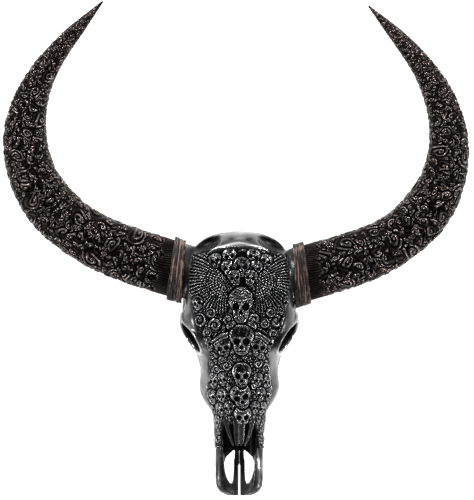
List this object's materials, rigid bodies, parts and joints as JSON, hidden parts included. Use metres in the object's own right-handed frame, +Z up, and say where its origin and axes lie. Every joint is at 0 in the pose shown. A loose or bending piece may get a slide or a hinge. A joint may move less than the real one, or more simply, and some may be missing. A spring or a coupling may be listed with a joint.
{
  "type": "carved buffalo skull",
  "caption": "Life-size water buffalo skull with long swept-back horns bound at the roots, carved all over in relief, black.",
  "frame": {"origin": "centre of the skull's and horns' plan outline, on the floor that the cheek teeth stand on", "axes": "+Z up out of the forehead, +Y from the nose towards the horn tips, +X towards the horn on the right when looking down with the nose towards the viewer"},
  "size_m": [0.8728, 0.927, 0.2007],
  "materials": {
    "carved_bone": "bone carved, blackened and polished to a graphite sheen",
    "carved_horn": "horn carved all over in deep relief, blackened, satin",
    "twine": "waxed dark twine wound side by side"
  },
  "bodies": {
    "root": {"cranium": "carved_bone", "muzzle": "carved_bone", "nasal_left": "carved_bone", "nasal_right": "carved_bone", "premaxilla_left": "carved_bone", "premaxilla_right": "carved_bone", "horn_left": "carved_horn", "horn_right": "carved_horn", "horn_binding_left": "twine", "horn_binding_right": "twine"}
  },
  "joints": []
}
